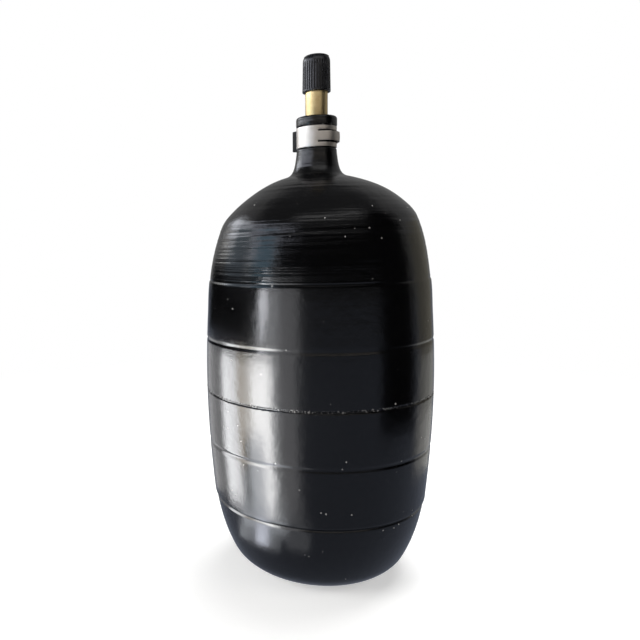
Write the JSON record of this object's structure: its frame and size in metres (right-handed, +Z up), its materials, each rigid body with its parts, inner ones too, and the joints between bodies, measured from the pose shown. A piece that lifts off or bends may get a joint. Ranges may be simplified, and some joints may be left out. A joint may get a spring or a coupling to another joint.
{
  "type": "inflatable pipe plug",
  "caption": "Thick black rubber bag with ringed barrel side, domed shoulder and neck, clamped round a brass air valve with a fluted screw cap.",
  "frame": {"origin": "centre of the flat foot", "axes": "+Z up along the valve, -Y towards the viewer of the picture, +X to the right"},
  "size_m": [0.0804, 0.0804, 0.1828],
  "materials": {
    "bag_rubber": "black moulded rubber, half gloss, with fine wrap lines on the shoulder and pale dust specks",
    "clamp_steel": "bright stainless strip, lightly handled",
    "brass": "drawn brass, bright, faintly dulled",
    "gasket_plastic": "matte red gasket",
    "seal_rubber": "matte black rubber",
    "spring_steel": "bright spring wire",
    "cap_plastic": "black moulded plastic, half gloss"
  },
  "bodies": {
    "plug": {"bladder": "bag_rubber", "clamp_band": "clamp_steel", "valve_stem": "brass", "core_plug": "brass", "core_barrel": "brass", "core_gasket": "gasket_plastic", "core_spring": "spring_steel"},
    "valve_pin": {"core_pin": "brass", "core_cup": "brass", "core_seal": "seal_rubber"},
    "cap_carrier": {"cap_seal": "seal_rubber"},
    "cap": {"valve_cap": "cap_plastic"}
  },
  "joints": [
    {"name": "pin_press", "type": "slide", "parent": "plug", "child": "valve_pin", "axis": [0, 0, -1], "range_m": [0, 0.0015], "stiffness_N_per_m": 1000, "deforming": ["core_spring"]},
    {"name": "cap_lift", "type": "slide", "parent": "plug", "child": "cap_carrier", "axis": [0, 0, 1], "range_m": [0, 0.01052]},
    {"name": "cap_turn", "type": "hinge", "parent": "cap_carrier", "child": "cap", "pos_m": [0, 0, 0.175], "axis": [0, 0, 1], "range_deg": [0, 4770]}
  ],
  "couplings": [
    {"joint": "cap_turn", "follows": "cap_lift", "rad_per_m": 7915.8}
  ]
}
